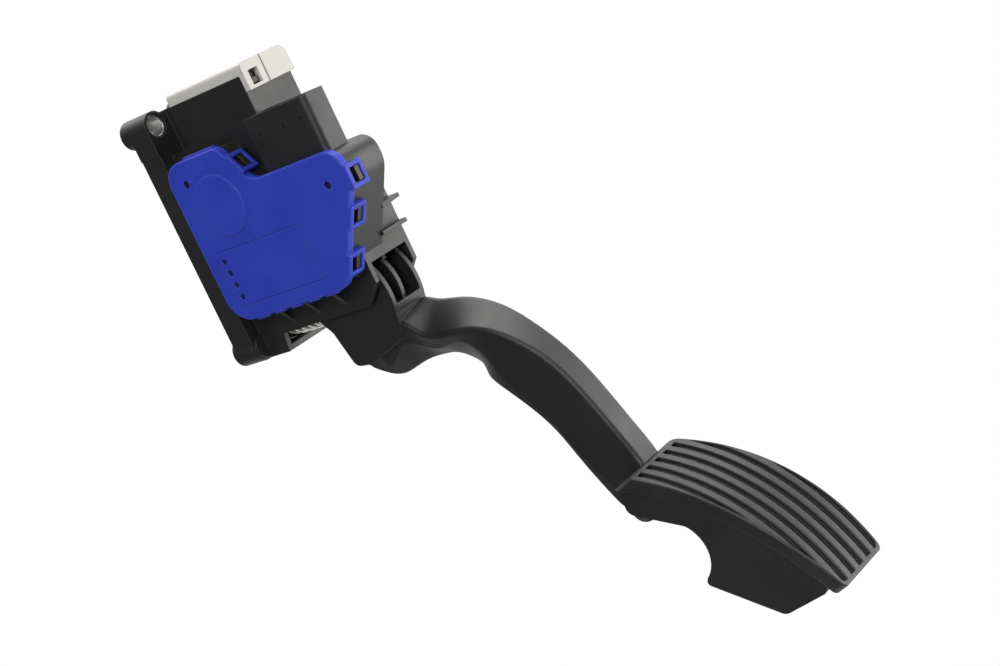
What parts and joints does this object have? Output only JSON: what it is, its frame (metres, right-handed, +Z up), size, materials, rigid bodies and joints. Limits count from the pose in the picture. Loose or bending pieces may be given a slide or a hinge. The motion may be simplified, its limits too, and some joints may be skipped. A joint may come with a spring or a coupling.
{
  "type": "accelerator pedal",
  "caption": "Hanging electronic accelerator pedal: moulded housing with clipped blue sensor cover and plug socket, and a curved sprung arm with a grooved tread.",
  "frame": {"origin": "midway between the two upper bolts, half way down to the lower fixings, on the plane of the mounting face", "axes": "+X away from the bulkhead towards the driver, +Z up, sensor cover and plug socket on the -Y side; +Y is the pivot axis"},
  "size_m": [0.249, 0.0565, 0.2775],
  "materials": {
    "black_nylon": "fine-grained glass-filled nylon",
    "tread_plastic": "satin moulded tread",
    "blue_plastic": "satin blue",
    "pale_plastic": "satin off-white",
    "plated_steel": "zinc plated",
    "bright_steel": "ground",
    "spring_steel": "drawn wire",
    "bearing_plastic": "natural acetal",
    "seal_rubber": "soft black rubber",
    "magnet": "sintered",
    "board": "glass-epoxy board with solder mask",
    "chip": "moulded chip package",
    "contact": "tinned brass"
  },
  "bodies": {
    "housing": {"housing": "black_nylon", "mounting_sleeves": "plated_steel", "sensor_cover": "blue_plastic", "cover_seal": "seal_rubber", "top_cap": "pale_plastic", "pivot_bush_near": "bearing_plastic", "pivot_bush_far": "bearing_plastic", "return_spring_outer": "spring_steel", "return_spring_inner": "spring_steel", "spring_seat_rear": "bearing_plastic", "friction_shoe": "bearing_plastic", "friction_spring": "spring_steel", "idle_buffer": "seal_rubber", "circuit_board": "board", "hall_sensors": "chip", "contact_pins": "contact"},
    "pedal": {"pedal_arm": "black_nylon", "foot_pad": "tread_plastic", "pivot_pin": "bright_steel", "pin_clip": "spring_steel", "spring_seat_front": "bearing_plastic", "magnet_rotor": "bearing_plastic", "ring_magnet": "magnet"}
  },
  "joints": [
    {"name": "pedal_pivot", "type": "hinge", "parent": "housing", "child": "pedal", "pos_m": [0.0405, 0, 0.012], "axis": [0, 1, 0], "range_deg": [0, 16], "stiffness_Nm_per_rad": 8.2, "springref_deg": -11.86, "deforming": ["return_spring_outer", "return_spring_inner"]}
  ]
}
